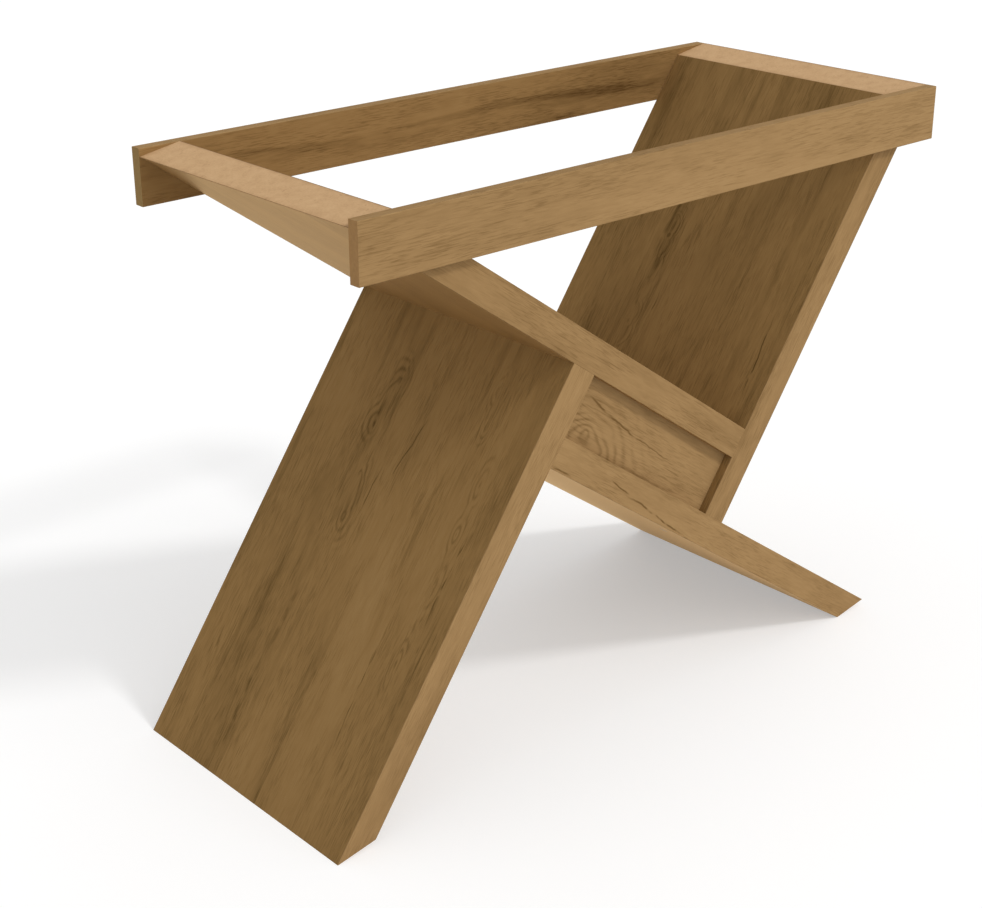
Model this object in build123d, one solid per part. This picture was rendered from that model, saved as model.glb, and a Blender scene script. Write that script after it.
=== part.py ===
"""Dining table base: four thick boards set as a pinwheel X, tied by a front rail and a rear rail."""

import os
from math import cos, radians, sin, tan

from build123d import *

# Stance and thick boards, in millimetres and degrees
HEIGHT = 750  # floor to the top of the rails
LEAN = 55  # slope of the steep boards; the shallow boards lie square to them
END_TILT = 10  # rise of every sawn foot and top, from level
BOARD = 40  # thickness of the four thick boards
BOARD_WIDTH = 392  # front edge to rear edge
BOX_LENGTH = 306  # inside of the middle box, along the shallow boards
BOX_HEIGHT = 80  # inside of the middle box, along the steep boards
ARRIS = 0.6  # rounding of the long edges

# Thin boards
RAIL_HEIGHT = 69
RAIL_THICKNESS = 15
INFILL_THICKNESS = 15
INFILL_RECESS = 12  # show face of an infill behind the edges of the thick boards

# Fits
FIT = 0.1  # air around a fitting in its bore
END_AIR = 0.5  # air past the end of a fitting
FITTING_SPACING = 130  # between neighbours in a row of fittings across a joint

# Dowels, half in each board
DOWEL_DIAMETER = 10
DOWEL_LENGTH = 40

# Connecting screws, with flat heads sunk flush
SCREW_LENGTH = 75
SCREW_DIAMETER = 7
SCREW_HEAD = 12
SCREW_HEAD_LENGTH = 4
SCREW_SOCKET = 5  # across the flats
SCREW_SOCKET_DEPTH = 2.5

# Cam fittings of the rails
CAM_DIAMETER = 15
CAM_DEPTH = 13
CAM_SETBACK = 34  # joint to the middle of the cam
CAM_SLOT = 1.6  # width of the crossed slot for a screwdriver
CAM_SLOT_DEPTH = 2.5
BOLT_DIAMETER = 6
BOLT_SETBACK = 9.5  # bolt axis below the face that the cam sits in
BOLT_PLAY = 0.3  # room for the bolt inside the cam
RAIL_SKIN = 4  # wood left between a bolt's bore and the show face of the rail

# The pieces are drawn in the pinwheel's own frame: X runs down along the shallow boards, Y runs up along
# the steep boards, and Z points to the front. A half turn about Z swaps lower boards with upper ones.
rise = sin(radians(LEAN))
run = cos(radians(LEAN))
pinwheel = Plane(origin=(0, 0, HEIGHT / 2), x_dir=(rise, 0, -run), z_dir=(0, -1, 0)).location
half_turn = Rot(0, 0, 180)
right, up, front, rear = (1, 0, 0), (0, 1, 0), (0, 0, 1), (0, 0, -1)
standing = (Align.CENTER, Align.CENTER, Align.MIN)

# Faces of the middle box, and the far faces and edges of the boards around it
box_x = BOX_LENGTH / 2
box_y = BOX_HEIGHT / 2
outer_x = box_x + BOARD
outer_y = box_y + BOARD
edge_z = BOARD_WIDTH / 2

# The lower corner of each foot stands on the floor, and its other corner lies further along the board
cut = tan(radians(LEAN - END_TILT))
steep_foot = -(HEIGHT / 2 + outer_x * run) / rise
steep_corner = steep_foot + BOARD / cut
shallow_foot = (HEIGHT / 2 - outer_y * rise) / run
shallow_corner = shallow_foot + BOARD * cut


def board(outline, length_axis):
    """A thick board with its long edges rounded."""
    blank = extrude(Polygon(outline, align=None), edge_z, both=True)
    return fillet(blank.edges().filter_by(length_axis), ARRIS)


def steep_board():
    """Lower left board, from its foot up to the underside of the shallow board above."""
    outline = [(-outer_x, box_y), (-outer_x, steep_foot), (-box_x, steep_corner), (-box_x, box_y)]
    return board(outline, Axis.Y)


def shallow_board():
    """Lower right board, from the face of the steep board down to its foot."""
    outline = [(-box_x, -box_y), (-box_x, -outer_y), (shallow_foot, -outer_y), (shallow_corner, -box_y)]
    return board(outline, Axis.X)


def infill(side):
    """Thin board across the middle box, set back from the edge on one side: 1 front, -1 rear."""
    middle = edge_z - INFILL_RECESS - INFILL_THICKNESS / 2
    return Pos(0, 0, side * middle) * Box(BOX_LENGTH, BOX_HEIGHT, INFILL_THICKNESS)


def rail(side):
    """Thin board on edge, as long as the span of the arms' tips, on one side: 1 front, -1 rear."""
    left_tip = (pinwheel * half_turn * Pos(shallow_corner, -box_y, 0)).position.X
    right_tip = (pinwheel * half_turn * Pos(-outer_x, steep_foot, 0)).position.X
    blank = Box(right_tip - left_tip, RAIL_THICKNESS, RAIL_HEIGHT)
    blank = fillet(blank.edges().filter_by(Axis.X), ARRIS)
    middle_y = -side * (edge_z + RAIL_THICKNESS / 2)
    middle = Pos((left_tip + right_tip) / 2, middle_y, HEIGHT - RAIL_HEIGHT / 2)
    return pinwheel.inverse() * middle * blank


# Every fitting stands on its joint, along its own Z: below zero it is in the piece that is met, and above
# zero in the board that comes to it.


def rod(diameter, low, high):
    """A round bar from one height to another."""
    return Pos(0, 0, low) * Cylinder(diameter / 2, high - low, align=standing)


def bore(diameter, low, high):
    """The hole for such a bar, with air all round."""
    return rod(diameter + 2 * FIT, low, high)


def dowel():
    """A plain dowel, half in each board."""
    return rod(DOWEL_DIAMETER, -DOWEL_LENGTH / 2, DOWEL_LENGTH / 2)


def dowel_bore():
    """The two holes that a dowel sits in."""
    reach = DOWEL_LENGTH / 2 + END_AIR
    return bore(DOWEL_DIAMETER, -reach, reach)


head_seat = SCREW_HEAD_LENGTH - BOARD
screw_tip = SCREW_LENGTH - BOARD


def screw():
    """A connecting screw through one thick board into the end of another, with a hexagon socket."""
    socket = extrude(RegularPolygon(SCREW_SOCKET / 2, 6, major_radius=False), SCREW_SOCKET_DEPTH)
    head = rod(SCREW_HEAD, -BOARD, head_seat) - Pos(0, 0, -BOARD) * socket
    return head + rod(SCREW_DIAMETER, head_seat, screw_tip)


def screw_bore():
    """The sunk hole for the head and the hole for the shank of a connecting screw."""
    shank = bore(SCREW_DIAMETER, head_seat, screw_tip + END_AIR)
    return shank + bore(SCREW_HEAD, -BOARD - END_AIR, head_seat)


bolt_depth = RAIL_THICKNESS - RAIL_SKIN
bolt_end = CAM_SETBACK + BOLT_DIAMETER / 2
into_face = Pos(BOLT_SETBACK, 0, CAM_SETBACK) * Rot(0, -90, 0)


def cam_bolt():
    """A bolt with its thread in the rail and its head inside the cam."""
    return rod(BOLT_DIAMETER, -bolt_depth, bolt_end)


def cam():
    """A round cam, flush with its face, with a crossed slot on top and a channel below for the bolt."""
    disc = rod(CAM_DIAMETER - 2 * FIT, 0, CAM_DEPTH - END_AIR)
    slot = Box(CAM_DIAMETER / 2, CAM_SLOT, CAM_SLOT_DEPTH, align=standing)
    disc = into_face * (disc - slot - Rot(0, 0, 90) * slot)
    width = BOLT_DIAMETER + 2 * BOLT_PLAY
    channel = Box(width, width, CAM_DIAMETER, align=(Align.CENTER, Align.CENTER, Align.MAX))
    return disc - Pos(0, 0, bolt_end + BOLT_PLAY) * channel


def cam_bore():
    """The hole for a cam bolt and the pocket for its cam."""
    hole = bore(BOLT_DIAMETER, -bolt_depth - END_AIR, bolt_end)
    return hole + into_face * rod(CAM_DIAMETER, -END_AIR, CAM_DEPTH)


def seats(points, into, facing):
    """Places for fittings on a joint: into the board that comes to it, with cams facing one way."""
    return [Plane(origin=point, x_dir=facing, z_dir=into).location for point in points]


def copies(fitting, places):
    """The same fitting at every place."""
    return [place * fitting for place in places]


def turned_over(fittings):
    """The fittings of a lower joint, carried to the upper joint that matches it."""
    return [half_turn * fitting for fitting in fittings]


# Half joint, glued: the end of the shallow leg on the face of the steep leg
outer_row = (-FITTING_SPACING, FITTING_SPACING)
half_y = -box_y - BOARD / 2
half_dowels = seats([(-box_x, half_y, z) for z in (*outer_row, 0)], right, up)

# Seam: the end of the steep arm on the shallow leg, drawn together by screws from below
seam_x = box_x + BOARD / 2
seam_screws = seats([(seam_x, -box_y, z) for z in outer_row], up, right)

# Rails: a cam in the upper right face of each arm, with its bolt at the middle of the rail's height
rail_middle = HEIGHT / 2 - RAIL_HEIGHT / 2
arm_y = outer_y - BOLT_SETBACK
arm_x = (arm_y * rise - rail_middle) / run
post_x = outer_x - BOLT_SETBACK
post_y = (rail_middle + post_x * run) / rise
front_cams = seats([(arm_x, arm_y, edge_z)], rear, up) + seats([(post_x, post_y, edge_z)], rear, right)
rear_cams = seats([(arm_x, arm_y, -edge_z)], front, up) + seats([(post_x, post_y, -edge_z)], front, right)

half_bores = copies(dowel_bore(), half_dowels)
seam_bores = copies(screw_bore(), seam_screws)
front_bores = copies(cam_bore(), front_cams)
rear_bores = copies(cam_bore(), rear_cams)

steep_leg = steep_board() - half_bores - turned_over(seam_bores)
shallow_leg = shallow_board() - half_bores - seam_bores

pieces = {
    "lower_left_leg": [steep_leg],
    "lower_right_leg": [shallow_leg],
    "upper_right_arm": [half_turn * steep_leg - front_bores - rear_bores],
    "upper_left_arm": [half_turn * shallow_leg - front_bores - rear_bores],
    "front_infill": [infill(1)],
    "rear_infill": [infill(-1)],
    "front_rail": [rail(1) - front_bores],
    "rear_rail": [rail(-1) - rear_bores],
    "left_half_dowels": copies(dowel(), half_dowels),
    "right_half_dowels": turned_over(copies(dowel(), half_dowels)),
    "lower_seam_screws": copies(screw(), seam_screws),
    "upper_seam_screws": turned_over(copies(screw(), seam_screws)),
    "front_rail_cams": copies(cam(), front_cams),
    "front_rail_cam_bolts": copies(cam_bolt(), front_cams),
    "rear_rail_cams": copies(cam(), rear_cams),
    "rear_rail_cam_bolts": copies(cam_bolt(), rear_cams),
}

os.makedirs("parts", exist_ok=True)
for name, shapes in pieces.items():
    solids = [solid for shape in shapes for solid in shape.solids()]
    export_step(pinwheel * Compound(solids), f"parts/{name}.step")
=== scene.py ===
"""Dining table base of oak-finish boards: finishes, fittings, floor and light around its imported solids."""

from math import cos, pi, radians, sin

import bmesh
import bpy
from mathutils import Matrix, Vector


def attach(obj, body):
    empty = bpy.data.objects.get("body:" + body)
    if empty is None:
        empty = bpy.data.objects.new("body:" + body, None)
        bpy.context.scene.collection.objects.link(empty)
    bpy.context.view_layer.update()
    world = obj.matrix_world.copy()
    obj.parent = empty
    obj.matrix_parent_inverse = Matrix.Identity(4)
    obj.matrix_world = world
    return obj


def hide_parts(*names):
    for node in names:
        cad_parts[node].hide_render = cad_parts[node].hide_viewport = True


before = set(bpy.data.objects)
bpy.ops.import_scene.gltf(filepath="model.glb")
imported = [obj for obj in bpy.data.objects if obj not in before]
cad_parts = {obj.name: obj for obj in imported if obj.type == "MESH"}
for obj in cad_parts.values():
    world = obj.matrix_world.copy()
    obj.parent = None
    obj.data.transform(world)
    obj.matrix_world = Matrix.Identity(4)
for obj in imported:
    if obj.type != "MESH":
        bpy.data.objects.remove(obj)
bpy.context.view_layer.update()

scene = bpy.context.scene


# Steep boards: the lower left leg and the upper right arm, thick fibreboard with a printed oak foil on the
# wide faces and a matching band glued along the front and rear edges. The foot and the top are sawn and left
# raw, and so are the bores for the dowels, screws and cams.
LEAN = radians(55)  # slope of the steep boards
ALONG_STEEP = Vector((cos(LEAN), 0, sin(LEAN)))
ALONG_SHALLOW = Vector((sin(LEAN), 0, -cos(LEAN)))
STEEP_TURN = (0, LEAN, 0)  # brings the grain of the wide faces to X and their width to Y
STEEP_EDGE_TURN = (radians(-90), 0, -LEAN)  # the same for the edges
FACE_TONES = ((0.110, 0.061, 0.017), (0.300, 0.175, 0.063), (0.423, 0.266, 0.109))  # dark to light
EDGE_TONES = ((0.150, 0.082, 0.028), (0.326, 0.199, 0.085), (0.440, 0.283, 0.131))


def add_node(tree, kind, inputs, **settings):
    """A shader node with its settings, and its inputs set to values or linked to sockets."""
    made = tree.nodes.new(kind)
    for key, value in settings.items():
        setattr(made, key, value)
    for key, value in inputs.items():
        if isinstance(value, bpy.types.NodeSocket):
            tree.links.new(value, made.inputs[key])
        else:
            made.inputs[key].default_value = value
    return made


def calc(tree, operation, *values):
    """The result of one sum on numbers or sockets."""
    return add_node(tree, "ShaderNodeMath", dict(enumerate(values)), operation=operation).outputs[0]


def shifted(tree, operation, vector, by):
    """A vector socket moved or scaled by another vector."""
    return add_node(tree, "ShaderNodeVectorMath", {0: vector, 1: by}, operation=operation).outputs[0]


def ramp_between(tree, value, low, high):
    """0 below low, 1 above high, and smooth between."""
    made = add_node(tree, "ShaderNodeMapRange", {"Value": value, "From Min": low, "From Max": high})
    made.interpolation_type = "SMOOTHSTEP"
    return made.outputs["Result"]


def grain_noise(tree, place, along, across, detail=1.0, distortion=0.0):
    """Noise drawn out along the grain: along and across are the changes in a metre."""
    drawn = shifted(tree, "MULTIPLY", place, (along, across, across))
    inputs = {"Vector": drawn, "Scale": 1.0, "Detail": detail, "Distortion": distortion}
    return add_node(tree, "ShaderNodeTexNoise", inputs).outputs[0]


def grain_spots(tree, place, low, high, *grain):
    """Spots drawn out along the grain: 0 where the noise is below low, and 1 where it is above high."""
    return ramp_between(tree, grain_noise(tree, place, *grain), low, high)


def swing(tree, noise, amount, tone):
    """A tone that goes up and down with a noise by an amount."""
    return calc(tree, "MULTIPLY_ADD", calc(tree, "SUBTRACT", noise, 0.5), amount, tone)


def new_material(name):
    """An empty node material, with its tree and its main shader."""
    material = bpy.data.materials.new(name)
    material.use_nodes = True
    tree = material.node_tree
    return material, tree, tree.nodes["Principled BSDF"]


def colour_by(tree, tone, stops):
    """A colour that follows a tone from 0 to 1 through evenly spaced stops."""
    ramp = add_node(tree, "ShaderNodeValToRGB", {"Fac": tone})
    points = ramp.color_ramp.elements
    while len(points) < len(stops):
        points.new(0.5)
    for index, stop in enumerate(stops):
        points[index].position = index / (len(stops) - 1)
        points[index].color = (*stop, 1)
    return ramp.outputs["Color"]


CRACK_WAVER = (24.0, 5.0, 3.0)  # changes in a metre along and across the grain, and detail
CRACK_WAVER_WIDTH = 0.010
CRACK_GAPS = (0.30, 0.55, 45.0, 9.0, 1.0)  # noise where a gap ends and the crack is full, and then the same
CRACK_TAPER = 0.3  # share of a crack's length that fades out at each end
CRACK_CORE = 0.2  # share of its width that is darkest


def crack_line(tree, place, along, across, start, end, width, depth):
    """A thin broken crack that wavers between two points of a board: depth at most, and 0 away from it."""
    slope = (end[1] - start[1]) / (end[0] - start[0])
    low, high = min(start[0], end[0]), max(start[0], end[0])
    taper = CRACK_TAPER * (high - low)
    waver = swing(tree, grain_noise(tree, place, *CRACK_WAVER), CRACK_WAVER_WIDTH, across)
    course = calc(tree, "MULTIPLY_ADD", along, slope, start[1] - slope * start[0])
    off = calc(tree, "ABSOLUTE", calc(tree, "SUBTRACT", waver, course))
    begins = ramp_between(tree, along, low, low + taper)
    ends = ramp_between(tree, along, high, high - taper)
    gaps = grain_spots(tree, place, *CRACK_GAPS)
    body = calc(tree, "SUBTRACT", 1.0, ramp_between(tree, off, CRACK_CORE * width, width))
    length = calc(tree, "MULTIPLY", begins, ends)
    shown = calc(tree, "MULTIPLY", length, calc(tree, "MULTIPLY", gaps, depth))
    return calc(tree, "MULTIPLY", shown, body)


# Noises of the print: changes in a metre along and across the grain, detail and distortion
STAVE_WAVER = (5.0, 9.0, 2.0)
RINGS = (0.9, 7.0, 1.0, 0.3)
CLOUDS = (3.0, 12.0, 2.0)
MOTTLE = (20.0, 64.0, 2.0)
FIBRE = (46.0, 400.0, 2.0)

# Spots of the print: the noise where they begin and where they are full, and then the same
RING_GAPS = (0.33, 0.60, 14.0, 40.0, 1.0)
STAINS = (0.52, 0.74, 3.4, 40.0, 3.0, 0.4)
FLECKS = (0.46, 0.66, 50.0, 780.0, 1.5, 0.2)
FLECK_PATCHES = (0.30, 0.62, 9.0, 30.0, 1.0)
CHECKS = (0.57, 0.68, 22.0, 420.0, 2.0, 0.5)
CHECK_PATCHES = (0.50, 0.66, 7.0, 24.0, 1.0)

# Shape of the staves, rings and knots, and how much each layer changes the tone or the relief
PRINT_WIDTH = 0.4  # width over which staves can start
STAVE_WAVER_WIDTH = 0.006
STAVE_JUMP = 37.0  # metres of print between staves whose tones differ by 1
RING_COUNT = 12.0  # rings over the whole swing of the slow field
KNOT_BENDS = (14.0, 22.0, 22.0)  # changes in a metre of what bends the rings of a knot
KNOT_BEND = (0.32, 0.32, 0)  # how far they bend, in shares of its length and width
KNOT_REACH = 0.55  # height of a knot's cone where its rings show in full
KNOT_EYE = 0.86  # height where its middle begins
KNOT_RINGS = 0.18  # how much more the rings show near a knot
MOTTLE_SHARE = 0.4  # of the swing of the clouds
FIBRE_SWING = 0.22
CHECK_DEPTH = 0.16
CRACK_DEPTH = 0.45
FIBRE_RIDGE = 0.5
FLECK_PIT = 0.6
CRACK_PIT = 1.2
LACQUER_ROUGHNESS = 0.86
FIBRE_GLOSS = 0.2  # how much smoother the fibres are
GLANCE = {"Color": (0.86, 0.59, 0.31, 1), "Roughness": 0.35}  # warm shine of the lacquer
GLANCE_POWER = 6.0  # how fast it fades away from edge on


def oak_print(name, turn, shift, tones, middle=0.5, staves=(), knots=(), cracks=(), fade=None, cloud=0.40,
              smudge=0.16, stroke=0.16, figure=0.05, pith=0.12, glance=0.0):
    """Printed oak foil. turn brings the grain to X and the width to Y, and shift picks the stretch of the
    print. staves are (start, tone) across the width, or middle is the tone of all of it. knots are (along,
    across, length, width, rings) and cracks (start, end, width, depth), in the turned frame. fade is (start,
    end, fall), a slow fall of the tone between two points. cloud, smudge, stroke, figure and pith are how
    much the clouds, the long stains, the short flecks, the growth rings and the middles of the knots show.
    glance is how much the lacquer shines where it is seen almost edge on."""
    material, tree, shader = new_material(name)
    coordinates = tree.nodes.new("ShaderNodeTexCoord").outputs["Object"]
    board = add_node(tree, "ShaderNodeMapping", {"Vector": coordinates, "Rotation": turn}).outputs[0]
    split = add_node(tree, "ShaderNodeSeparateXYZ", {"Vector": board}).outputs
    place = shifted(tree, "ADD", board, shift)
    tone = middle

    # Strips of unlike tone, each from another stretch of the print
    if staves:
        waver = swing(tree, grain_noise(tree, place, *STAVE_WAVER), STAVE_WAVER_WIDTH, split["Y"])
        across = calc(tree, "MULTIPLY_ADD", waver, 1 / PRINT_WIDTH, 0.5)
        strips = add_node(tree, "ShaderNodeValToRGB", {"Fac": across})
        strips.color_ramp.interpolation = "CONSTANT"
        points = strips.color_ramp.elements
        while len(points) < len(staves):
            points.new(0.5)
        for index, (start, shade) in enumerate(staves):
            points[index].position = start / PRINT_WIDTH + 0.5
            points[index].color = (shade, shade, shade, 1)
        tone = strips.outputs["Color"]
        place = shifted(tree, "ADD", place, shifted(tree, "MULTIPLY", tone, (STAVE_JUMP, 0, 0)))

    # Growth rings as the contours of a slow field, which rises to a cone at each knot
    turns = calc(tree, "MULTIPLY", grain_noise(tree, place, *RINGS), RING_COUNT)
    bends = {"Vector": shifted(tree, "MULTIPLY", place, KNOT_BENDS), "Scale": 1.0, "Detail": 3.0}
    bend = add_node(tree, "ShaderNodeTexNoise", bends).outputs["Color"]
    bend = shifted(tree, "SUBTRACT", bend, (0.5, 0.5, 0.5))
    bend = shifted(tree, "MULTIPLY", bend, KNOT_BEND)
    near = 0.0
    eye = 0.0
    for along, across, length, width, ring_count in knots:
        away = shifted(tree, "SUBTRACT", board, (along, across, 0))
        away = shifted(tree, "MULTIPLY", away, (1 / length, 1 / width, 0))
        away = shifted(tree, "ADD", away, bend)
        away = add_node(tree, "ShaderNodeVectorMath", {0: away}, operation="LENGTH").outputs["Value"]
        cone = calc(tree, "MAXIMUM", calc(tree, "SUBTRACT", 1.0, away), 0.0)
        turns = calc(tree, "MULTIPLY_ADD", cone, ring_count, turns)
        near = calc(tree, "MAXIMUM", ramp_between(tree, cone, 0.0, KNOT_REACH), near)
        eye = calc(tree, "MAXIMUM", ramp_between(tree, cone, KNOT_EYE, 1.0), eye)
    wave = calc(tree, "MULTIPLY_ADD", calc(tree, "SINE", calc(tree, "MULTIPLY", turns, 2 * pi)), 0.5, 0.5)
    broken = grain_spots(tree, place, *RING_GAPS)
    shown = calc(tree, "MULTIPLY", broken, calc(tree, "MULTIPLY_ADD", near, KNOT_RINGS, figure))
    rings = calc(tree, "MULTIPLY", calc(tree, "MULTIPLY", wave, wave), shown)

    # Soft clouds, long stains, fine fibres, and short flecks and checks that lie in patches
    clouds = grain_noise(tree, place, *CLOUDS)
    mottle = grain_noise(tree, place, *MOTTLE)
    stains = grain_spots(tree, place, *STAINS)
    fibre = grain_noise(tree, place, *FIBRE)
    flecks = grain_spots(tree, place, *FLECKS)
    flecks = calc(tree, "MULTIPLY", flecks, grain_spots(tree, place, *FLECK_PATCHES))
    checks = grain_spots(tree, place, *CHECKS)
    checks = calc(tree, "MULTIPLY", checks, grain_spots(tree, place, *CHECK_PATCHES))
    split_lines = 0.0
    for crack in cracks:
        line = crack_line(tree, place, split["X"], split["Y"], *crack)
        split_lines = calc(tree, "MAXIMUM", line, split_lines)

    # The tone with every layer on it, and its colour
    if fade:
        start, end, fall = fade
        way = Vector(end) - Vector(start)
        past = shifted(tree, "SUBTRACT", board, (*start, 0))
        measure = {0: past, 1: (*(way / way.length_squared), 0)}
        part = add_node(tree, "ShaderNodeVectorMath", measure, operation="DOT_PRODUCT").outputs["Value"]
        tone = calc(tree, "MULTIPLY_ADD", ramp_between(tree, part, 0.0, 1.0), -fall, tone)
    tone = swing(tree, clouds, cloud, tone)
    tone = swing(tree, mottle, MOTTLE_SHARE * cloud, tone)
    tone = swing(tree, fibre, FIBRE_SWING, tone)
    tone = calc(tree, "MULTIPLY_ADD", stains, -smudge, tone)
    tone = calc(tree, "MULTIPLY_ADD", flecks, -stroke, tone)
    tone = calc(tree, "MULTIPLY_ADD", checks, -CHECK_DEPTH, tone)
    tone = calc(tree, "SUBTRACT", tone, rings)
    tone = calc(tree, "MULTIPLY_ADD", eye, -pith, tone)
    tone = calc(tree, "MULTIPLY_ADD", split_lines, -CRACK_DEPTH, tone)
    tree.links.new(colour_by(tree, tone, tones), shader.inputs["Base Color"])

    # Embossed flecks and cracks under a matt lacquer, which may shine where it is seen almost edge on
    height = calc(tree, "MULTIPLY", fibre, FIBRE_RIDGE)
    height = calc(tree, "MULTIPLY_ADD", flecks, -FLECK_PIT, height)
    height = calc(tree, "MULTIPLY_ADD", split_lines, -CRACK_PIT, height)
    bump = add_node(tree, "ShaderNodeBump", {"Height": height, "Strength": 0.3, "Distance": 0.0004})
    tree.links.new(bump.outputs["Normal"], shader.inputs["Normal"])
    roughness = calc(tree, "MULTIPLY_ADD", fibre, -FIBRE_GLOSS, LACQUER_ROUGHNESS)
    tree.links.new(roughness, shader.inputs["Roughness"])
    shader.inputs["Specular IOR Level"].default_value = 0.04
    if glance:
        facing = add_node(tree, "ShaderNodeLayerWeight", {"Blend": 0.5}).outputs["Facing"]
        edge_on = calc(tree, "MULTIPLY", calc(tree, "POWER", facing, GLANCE_POWER), glance)
        shine = add_node(tree, "ShaderNodeBsdfAnisotropic", GLANCE).outputs[0]
        layers = {0: edge_on, 1: shader.outputs[0], 2: shine}
        lacquered = add_node(tree, "ShaderNodeMixShader", layers).outputs[0]
        tree.links.new(lacquered, tree.nodes["Material Output"].inputs["Surface"])
    return material


def reach(mesh, direction):
    """The low and the high end of a mesh along a direction."""
    places = [vertex.co.dot(direction) for vertex in mesh.vertices]
    return min(places), max(places)


RAW_TONES = ((0.387, 0.223, 0.104), (0.565, 0.358, 0.184), (0.677, 0.455, 0.254))
RAW_CLOUDS = (75.0, 75.0, 2.0)  # changes in a metre both ways, and detail
RAW_CLOUD_SWING = 0.5
SPECKS = (420.0, 420.0, 2.0)
SPECK_SWING = 0.45
BUNDLES = (0.66, 0.74, 150.0, 150.0, 1.0)  # noise where they begin and where they are full, and then the same
BUNDLE_DEPTH = 0.22
DENSE_FROM = 0.7  # share of the half thickness where the board begins to be denser
DENSE_DEPTH = 0.15
FOIL_COLOUR = (0.24, 0.135, 0.055, 1)
FOIL = 0.0006  # thickness of the foil, as a sawn end shows it


def sawn_fibreboard(name, turn, thick, nodes):
    """Raw fibreboard as the saw leaves it: pinkish tan with fine specks, denser and darker next to the faces,
    and with the foil as a brown line along its borders. nodes are the two boards that share it, one on either
    side of the middle of the base, and turn brings the direction of their thickness, thick, to Z."""
    lower, upper = sorted(reach(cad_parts[node].data, thick) for node in nodes)
    centre = (lower[0] + upper[1]) / 2
    middle = (upper[0] + upper[1]) / 2 - centre
    half_thick = (upper[1] - upper[0]) / 2
    material, tree, shader = new_material(name)
    coordinates = tree.nodes.new("ShaderNodeTexCoord").outputs["Object"]
    board = add_node(tree, "ShaderNodeMapping", {"Vector": coordinates, "Rotation": turn}).outputs[0]
    height = add_node(tree, "ShaderNodeSeparateXYZ", {"Vector": board}).outputs["Z"]
    depth = calc(tree, "ABSOLUTE", calc(tree, "SUBTRACT", height, centre))
    depth = calc(tree, "ABSOLUTE", calc(tree, "SUBTRACT", depth, middle))
    specks = grain_noise(tree, board, *SPECKS)
    clouds = grain_noise(tree, board, *RAW_CLOUDS)
    dense = ramp_between(tree, depth, DENSE_FROM * half_thick, half_thick)
    tone = swing(tree, clouds, RAW_CLOUD_SWING, 0.5)
    tone = swing(tree, specks, SPECK_SWING, tone)
    tone = calc(tree, "MULTIPLY_ADD", grain_spots(tree, board, *BUNDLES), -BUNDLE_DEPTH, tone)
    tone = calc(tree, "MULTIPLY_ADD", dense, -DENSE_DEPTH, tone)
    raw = colour_by(tree, tone, RAW_TONES)
    foil = ramp_between(tree, depth, half_thick - 1.5 * FOIL, half_thick - FOIL)
    mixed = add_node(tree, "ShaderNodeMix", {"Factor": foil}, data_type="RGBA")
    tree.links.new(raw, mixed.inputs["A"])
    mixed.inputs["B"].default_value = FOIL_COLOUR
    tree.links.new(mixed.outputs["Result"], shader.inputs["Base Color"])
    bump = add_node(tree, "ShaderNodeBump", {"Height": specks, "Strength": 0.35, "Distance": 0.0005})
    tree.links.new(bump.outputs["Normal"], shader.inputs["Normal"])
    shader.inputs["Roughness"].default_value = 0.9
    shader.inputs["Specular IOR Level"].default_value = 0.15
    return material


BAND = 0.001  # thickness of the edge band
SKIN = 0.0007  # depth that still counts as the outside of a board
END_FACING = 0.3  # how much a face looks along the board before it is an end
SAME_POINT = 1e-6  # distance at which the corners of loose triangles are one
ON_CUT = 1e-7  # and at which a corner lies on a cut
SHOW, BACK, EDGE, END = range(4)  # places of a board's four finishes


def dressed_board(node, along, thick, show, back, edge, end):
    """A copy of a board with its wide face on the side of thick, the other wide face, its edges with their
    bands, and its ends and bores finished apart."""
    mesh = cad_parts[node].data.copy()
    mesh.name = node + "_dressed"
    width = along.cross(thick)
    bottom, top = reach(mesh, thick)
    left, right = reach(mesh, width)
    form = bmesh.new()
    form.from_mesh(mesh)
    bmesh.ops.remove_doubles(form, verts=form.verts, dist=SAME_POINT)
    for level in (left + BAND, right - BAND):
        whole = form.verts[:] + form.edges[:] + form.faces[:]
        bmesh.ops.bisect_plane(form, geom=whole, plane_co=width * level, plane_no=width, dist=ON_CUT)
    for flat in form.faces:
        middle = flat.calc_center_median()
        below = min(middle.dot(thick) - bottom, top - middle.dot(thick))
        inside = min(middle.dot(width) - left, right - middle.dot(width))
        if abs(flat.normal.dot(along)) > END_FACING or min(below, inside) > SKIN:
            flat.material_index = END
        elif inside < BAND:
            flat.material_index = EDGE
        else:
            flat.material_index = SHOW if flat.normal.dot(thick) > 0 else BACK
        flat.smooth = False
    mesh.materials.clear()
    for material in (show, back, edge, end):
        mesh.materials.append(material)
    form.to_mesh(mesh)
    form.free()
    piece = bpy.data.objects.new(node + "_dressed", mesh)
    scene.collection.objects.link(piece)
    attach(piece, "root")
    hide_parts(node)


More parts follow.
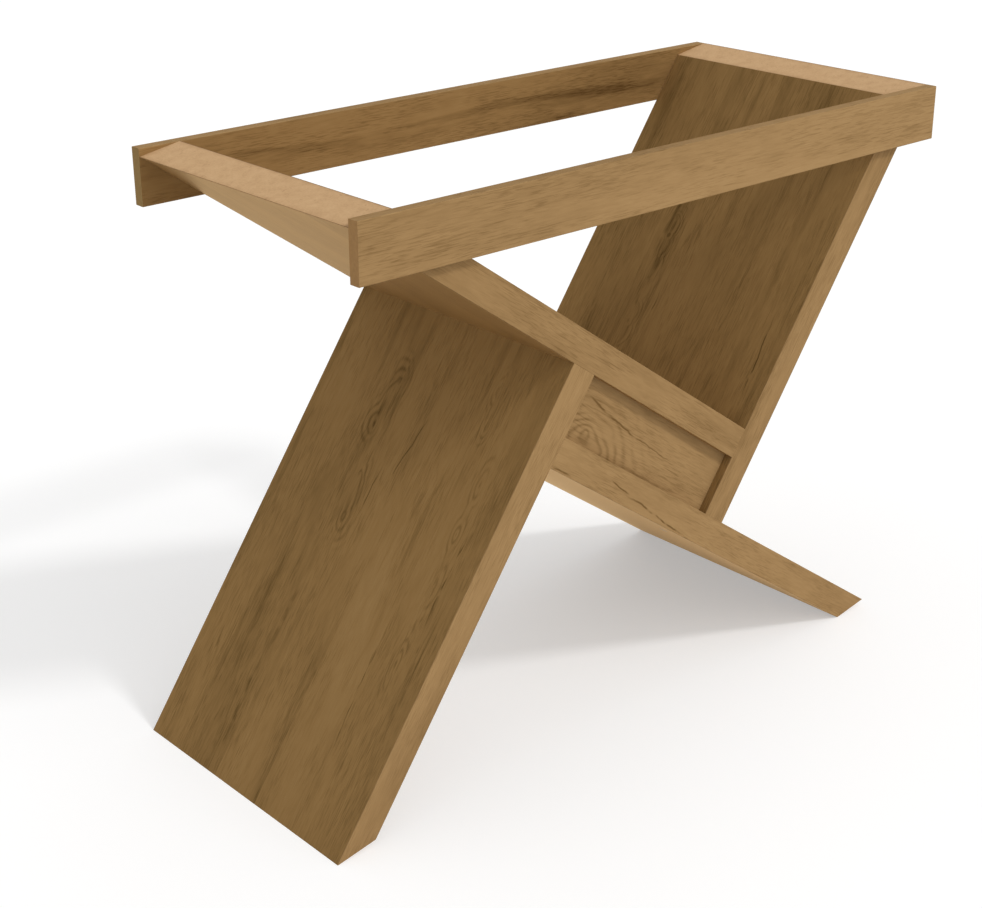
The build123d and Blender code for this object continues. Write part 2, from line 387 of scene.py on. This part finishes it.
leg_face = oak_print(
    "oak_left_face_of_leg", STEEP_TURN, (0.3, 0.02, 0), FACE_TONES,
    staves=[(-0.200, 0.45), (-0.160, 0.50), (-0.105, 0.54), (-0.031, 0.52), (0.054, 0.47), (0.128, 0.51)],
    knots=[
        (0.250, 0.056, 0.050, 0.026, 4), (0.191, 0.064, 0.060, 0.030, 5),
        (0.125, 0.052, 0.050, 0.026, 4), (0.070, 0.046, 0.060, 0.028, 5),
        (0.285, -0.104, 0.036, 0.014, 3), (0.240, -0.112, 0.032, 0.013, 3),
        (0.175, -0.143, 0.045, 0.014, 3), (0.110, -0.142, 0.042, 0.014, 3),
        (0.045, -0.146, 0.050, 0.013, 3), (-0.055, -0.143, 0.060, 0.014, 4),
    ],
    cracks=[
        ((0.232, -0.020), (0.130, 0.001), 0.0014, 0.8), ((0.150, 0.020), (0.060, 0.022), 0.0012, 0.8),
        ((0.125, -0.160), (-0.010, -0.158), 0.0016, 1.0), ((-0.030, -0.103), (-0.190, -0.110), 0.0013, 0.8),
        ((-0.02, 0.060), (-0.14, 0.068), 0.0050, 0.35), ((-0.13, 0.071), (-0.257, 0.066), 0.0040, 0.5),
    ],
)
arm_face = oak_print(
    "oak_left_face_of_arm", STEEP_TURN, (1.7, 0.31, 0), FACE_TONES,
    staves=[(-0.200, 0.50), (-0.128, 0.45), (-0.040, 0.49), (0.042, 0.44), (0.087, 0.50), (0.140, 0.47)],
    knots=[(along, 0.065, 0.036, 0.026, 4) for along in (0.632, 0.604, 0.572, 0.538, 0.500, 0.472, 0.440)],
    cracks=[
        ((0.545, -0.161), (0.420, -0.169), 0.0014, 0.9), ((0.530, 0.035), (0.455, 0.033), 0.0013, 0.8),
        ((0.690, 0.068), (0.560, 0.076), 0.0045, 0.45),
    ],
)
steep_back = oak_print(
    "oak_right_faces_of_steep_boards", STEEP_TURN, (3.9, 0.11, 0), FACE_TONES,
    staves=[(-0.200, 0.48), (-0.118, 0.54), (-0.036, 0.46), (0.041, 0.52), (0.122, 0.48)],
    knots=[
        (0.350, -0.070, 0.090, 0.026, 5), (0.265, -0.062, 0.070, 0.022, 4),
        (0.640, 0.080, 0.085, 0.024, 4), (0.560, 0.086, 0.060, 0.020, 4),
    ],
    cracks=[((0.30, 0.082), (0.16, 0.086), 0.0014, 0.9), ((0.62, -0.150), (0.50, -0.146), 0.0014, 0.9)],
)
steep_edge = oak_print(
    "oak_edges_of_steep_boards", STEEP_EDGE_TURN, (2.6, 0.4, 0.2), EDGE_TONES, middle=0.46, smudge=0.08,
)
steep_cut = sawn_fibreboard(
    "sawn_ends_of_steep_boards", STEEP_TURN, -ALONG_SHALLOW, ("lower_left_leg", "upper_right_arm"),
)
dressed_board("lower_left_leg", ALONG_STEEP, -ALONG_SHALLOW, leg_face, steep_back, steep_edge, steep_cut)
dressed_board("upper_right_arm", ALONG_STEEP, -ALONG_SHALLOW, arm_face, steep_back, steep_edge, steep_cut)


# Shallow boards: the lower right leg and the upper left arm, made as the steep ones are and lying square to
# them. The arm lies on the steep leg and butts the steep arm, with screws and cams in its upper face. The
# lacquer of both undersides shines where it is seen almost edge on. The underside of the leg is printed paler
# than its other faces, a painted reflection of the white floor.
SHALLOW_TURN = (0, LEAN - radians(90), 0)
SHALLOW_EDGE_TURN = (radians(-90), 0, radians(90) - LEAN)
arm_under = oak_print(
    "oak_underside_of_arm", SHALLOW_TURN, (3.3, 0.13, 0), FACE_TONES, cloud=0.25, smudge=0.08, glance=0.6,
    staves=[(-0.200, 0.40), (-0.118, 0.44), (-0.040, 0.41), (0.036, 0.45), (0.104, 0.40), (0.160, 0.43)],
)
leg_under_with_painted_reflection = oak_print(
    "oak_underside_of_leg_with_painted_reflection", SHALLOW_TURN, (2.2, 0.41, 0), FACE_TONES, cloud=0.25, smudge=0.08, glance=0.9,
    # paler staves than on the other faces: a painted reflection of the white floor
    staves=[(-0.200, 0.60), (-0.110, 0.56), (-0.020, 0.61), (0.066, 0.55), (0.150, 0.59)],
    cracks=[((-0.05, -0.06), (0.08, -0.064), 0.0014, 0.9)],
)
shallow_top = oak_print(
    "oak_upper_faces", SHALLOW_TURN, (7.1, 0.37, 0), FACE_TONES,
    staves=[(-0.200, 0.53), (-0.132, 0.47), (-0.052, 0.51), (0.028, 0.46), (0.112, 0.52)],
    knots=[
        (-0.300, 0.080, 0.090, 0.026, 5), (-0.220, 0.086, 0.065, 0.020, 4),
        (0.160, -0.090, 0.080, 0.024, 4), (0.085, -0.084, 0.060, 0.020, 4),
    ],
    cracks=[((-0.42, -0.02), (-0.30, -0.026), 0.0014, 0.9), ((0.05, 0.06), (0.16, 0.064), 0.0014, 0.9)],
)
shallow_edge = oak_print(
    "oak_edges_of_shallow_boards", SHALLOW_EDGE_TURN, (4.1, 0.7, 0.3), EDGE_TONES, smudge=0.10,
    fade=((0.0, 0.270), (0.0, 0.340), 0.09),
    cracks=[
        ((-0.240, 0.2435), (-0.020, 0.2220), 0.0017, 1.2), ((-0.262, 0.248), (-0.215, 0.244), 0.0014, 1.0),
        ((-0.385, 0.2293), (-0.325, 0.2303), 0.0016, 1.0),
    ],
)
shallow_cut = sawn_fibreboard(
    "sawn_ends_of_shallow_boards", SHALLOW_TURN, ALONG_STEEP, ("lower_right_leg", "upper_left_arm"),
)
for node, under in (("lower_right_leg", leg_under_with_painted_reflection), ("upper_left_arm", arm_under)):
    dressed_board(node, ALONG_SHALLOW, -ALONG_STEEP, under, shallow_top, shallow_edge, shallow_cut)


# Infill boards: two thin boards glued between the four thick ones, a little behind their edges, with the same
# foil and the grain along the shallow boards. The print has a knot near the left end of the front board and a
# long crack over it.
ACROSS = Vector((0, 1, 0))
infill_face = oak_print(
    "oak_infill", SHALLOW_EDGE_TURN, (5.2, 0.55, 0.1), EDGE_TONES, smudge=0.10, pith=0.0,
    knots=[(-0.327, 0.286, 0.135, 0.064, 8)],
    cracks=[
        ((-0.360, 0.326), (-0.225, 0.307), 0.0018, 1.1), ((-0.262, 0.310), (-0.150, 0.305), 0.0013, 0.8),
        ((-0.340, 0.266), (-0.100, 0.272), 0.0035, 0.4),
    ],
)
for node, outward in (("front_infill", -ACROSS), ("rear_infill", ACROSS)):
    dressed_board(node, ALONG_SHALLOW, outward, infill_face, infill_face, infill_face, shallow_cut)


# Rails: two thin boards on edge that tie the arms at the front and the rear, foiled on both faces and banded
# all round, with the grain along their length. The inner faces are printed darker than the outer ones, and
# darker still towards their right ends, a painted shade near the steep arm. The bands on the ends are plain,
# brown on the front rail and more olive on the rear one.
ALONG_RAILS = Vector((1, 0, 0))
RAIL_TURN = (radians(-90), 0, 0)
INNER_TONES = ((0.100, 0.050, 0.014), (0.284, 0.163, 0.060), (0.395, 0.242, 0.100))
FRONT_BAND_TONES = ((0.262, 0.138, 0.042), (0.370, 0.200, 0.067))
REAR_BAND_TONES = ((0.207, 0.121, 0.032), (0.292, 0.176, 0.050))
BAND_UNEVENNESS = (260.0, 260.0, 2.0)  # changes in a metre both ways, and detail
rail_show = oak_print(
    "oak_outer_faces_of_rails", RAIL_TURN, (6.4, 0.2, 0.4), EDGE_TONES, middle=0.56, stroke=0.17, smudge=0.06,
    fade=((0.45, 0.7), (-0.45, 0.7), 0.15),
)
rail_inner_with_painted_shade = oak_print(
    "oak_inner_faces_of_rails_with_painted_shade", RAIL_TURN, (8.8, 0.6, 0.2), INNER_TONES, middle=0.57, stroke=0.2, smudge=0.26,
    # the tone falls towards the right end: a painted shade near the steep arm
    fade=((-0.40, 0.7), (0.40, 0.7), 0.14),
)
rail_edge = oak_print("oak_edges_of_rails", RAIL_TURN, (9.7, 0.1, 0.7), EDGE_TONES, smudge=0.08)


def plain_band(name, stops):
    """Plain edge band with a faint unevenness."""
    material, tree, shader = new_material(name)
    place = tree.nodes.new("ShaderNodeTexCoord").outputs["Object"]
    fine = grain_noise(tree, place, *BAND_UNEVENNESS)
    tree.links.new(colour_by(tree, fine, stops), shader.inputs["Base Color"])
    bump = add_node(tree, "ShaderNodeBump", {"Height": fine, "Strength": 0.15, "Distance": 0.0003})
    tree.links.new(bump.outputs["Normal"], shader.inputs["Normal"])
    shader.inputs["Roughness"].default_value = 0.6
    shader.inputs["Specular IOR Level"].default_value = 0.2
    return material


front_band = plain_band("brown_end_band", FRONT_BAND_TONES)
rear_band = plain_band("olive_end_band", REAR_BAND_TONES)
for node, outward, band in (("front_rail", -ACROSS, front_band), ("rear_rail", ACROSS, rear_band)):
    dressed_board(node, ALONG_RAILS, outward, rail_show, rail_inner_with_painted_shade, rail_edge, band)


# Dowels: turned beech pins, three to each half joint, bought in and glued half into one board and half into
# the other. They are out of sight once the halves are together.
BEECH_TONES = ((0.48, 0.31, 0.16), (0.70, 0.52, 0.33))
PIN_FLECKS = (60.0, 900.0, 2.0)  # changes in a metre one way and across it, and detail


def beech():
    """Plain turned beech with short flecks."""
    material, tree, shader = new_material("turned_beech")
    place = tree.nodes.new("ShaderNodeTexCoord").outputs["Object"]
    flecks = grain_noise(tree, place, *PIN_FLECKS)
    tree.links.new(colour_by(tree, flecks, BEECH_TONES), shader.inputs["Base Color"])
    shader.inputs["Roughness"].default_value = 0.7
    return material


turned_beech = beech()
for node in ("left_half_dowels", "right_half_dowels"):
    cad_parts[node].data.materials[0] = turned_beech


# Connecting screws, cam bolts and cams: zinc-plated steel and die-cast zinc, bought in. The screw heads and
# the cams lie flush in the faces that they are driven from.
DULL = 0.7  # darkest spots, as a share of the metal's colour
UNEVEN_GLOSS = 0.2  # how much rougher the brightest spots are


def metal(name, colour, roughness, grain):
    """Plated or cast metal with a fine uneven surface."""
    material, tree, shader = new_material(name)
    place = tree.nodes.new("ShaderNodeTexCoord").outputs["Object"]
    uneven = grain_noise(tree, place, grain, grain, 2.0)
    dull = tuple(DULL * part for part in colour)
    tree.links.new(colour_by(tree, uneven, (dull, colour)), shader.inputs["Base Color"])
    uneven_gloss = calc(tree, "MULTIPLY_ADD", uneven, UNEVEN_GLOSS, roughness)
    tree.links.new(uneven_gloss, shader.inputs["Roughness"])
    bump = add_node(tree, "ShaderNodeBump", {"Height": uneven, "Strength": 0.2, "Distance": 0.0002})
    tree.links.new(bump.outputs["Normal"], shader.inputs["Normal"])
    shader.inputs["Metallic"].default_value = 1.0
    return material


plated_steel = metal("zinc_plated_steel", (0.36, 0.35, 0.32), 0.34, 900.0)
cast_zinc = metal("cast_zinc", (0.33, 0.33, 0.34), 0.45, 1400.0)
for node in ("lower_seam_screws", "upper_seam_screws", "front_rail_cam_bolts", "rear_rail_cam_bolts"):
    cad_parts[node].data.materials[0] = plated_steel
for node in ("front_rail_cams", "rear_rail_cams"):
    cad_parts[node].data.materials[0] = cast_zinc


# Floor: a plain white studio floor, wide enough to fill the view. Seen by the camera it is lifted towards
# white, and it keeps a soft shadow.
FLOOR_SIZE = 24.0
FLOOR_WHITE = 0.93
SEEN_WHITE = 0.70  # what the camera sees of the lit floor
SEEN_LIFT = 0.375  # and the white that is added to it
floor_form = bmesh.new()
bmesh.ops.create_grid(floor_form, x_segments=1, y_segments=1, size=FLOOR_SIZE / 2)
floor_mesh = bpy.data.meshes.new("floor")
floor_form.to_mesh(floor_mesh)
floor_form.free()
floor = bpy.data.objects.new("floor", floor_mesh)
scene.collection.objects.link(floor)
floor_paint, floor_tree, floor_shader = new_material("floor_white")
floor_shader.inputs["Roughness"].default_value = 0.9
floor_shader.inputs["Specular IOR Level"].default_value = 0.0
floor_shader.inputs["Emission Color"].default_value = (1, 1, 1, 1)


def seen_directly(tree):
    """1 for rays from the camera, a mirror or a glass, and 0 for rays that carry light."""
    path = tree.nodes.new("ShaderNodeLightPath").outputs
    seen = calc(tree, "MAXIMUM", path["Is Camera Ray"], path["Is Glossy Ray"])
    return calc(tree, "MAXIMUM", seen, path["Is Transmission Ray"])


seen = seen_directly(floor_tree)
shade = calc(floor_tree, "MULTIPLY_ADD", seen, SEEN_WHITE - FLOOR_WHITE, FLOOR_WHITE)
floor_tree.links.new(shade, floor_shader.inputs["Base Color"])
floor_tree.links.new(calc(floor_tree, "MULTIPLY", seen, SEEN_LIFT), floor_shader.inputs["Emission Strength"])
floor_mesh.materials.append(floor_paint)


# Light: an even white surround, a key from the front right, and a wide soft light from lower down on the
# front. The backdrop is white.
SURROUND = 0.62
world = bpy.data.worlds.new("studio")
world.use_nodes = True
scene.world = world
sky = world.node_tree
sky.nodes.clear()
lighting = add_node(sky, "ShaderNodeBackground", {"Color": (1, 1, 1, 1), "Strength": SURROUND}).outputs[0]
backdrop = add_node(sky, "ShaderNodeBackground", {"Color": (1, 1, 1, 1), "Strength": 1.0}).outputs[0]
mixed_sky = add_node(sky, "ShaderNodeMixShader", {0: seen_directly(sky), 1: lighting, 2: backdrop}).outputs[0]
add_node(sky, "ShaderNodeOutputWorld", {"Surface": mixed_sky})

# Suns: name, strength, spread and the direction that they stand in
KEY = ("key", 1.0, radians(8), (0.5, -1.0, 1.0))
SOFT_LIGHT = ("soft_light", 0.75, radians(60), (0.2, -1.0, 0.6))
for name, strength, spread, towards in (KEY, SOFT_LIGHT):
    lamp = bpy.data.lights.new(name, "SUN")
    lamp.energy = strength
    lamp.angle = spread
    holder = bpy.data.objects.new(name, lamp)
    holder.rotation_euler = Vector(towards).to_track_quat("Z", "Y").to_euler()
    scene.collection.objects.link(holder)


# Camera: to the front left and a little above, with the view of the photograph. Its place and turn were found
# by matching the edges of the boards.
SENSOR_WIDTH = 36  # in millimetres, as the lens
LENS = 67.68
CAMERA_PLACE = (-1.5225, -1.6240, 1.2527)
BEARING = radians(-41.4)  # to the right of straight ahead
DIP = radians(23.066)  # below level
ROLL = radians(-0.226)
camera_data = bpy.data.cameras.new("camera")
camera_data.sensor_width = SENSOR_WIDTH
camera_data.lens = LENS
camera = bpy.data.objects.new("camera", camera_data)
aim = Matrix.Rotation(BEARING, 4, "Z") @ Matrix.Rotation(radians(90) - DIP, 4, "X")
camera.matrix_world = Matrix.Translation(CAMERA_PLACE) @ aim @ Matrix.Rotation(ROLL, 4, "Z")
scene.collection.objects.link(camera)
scene.camera = camera
scene.view_settings.view_transform = "Standard"
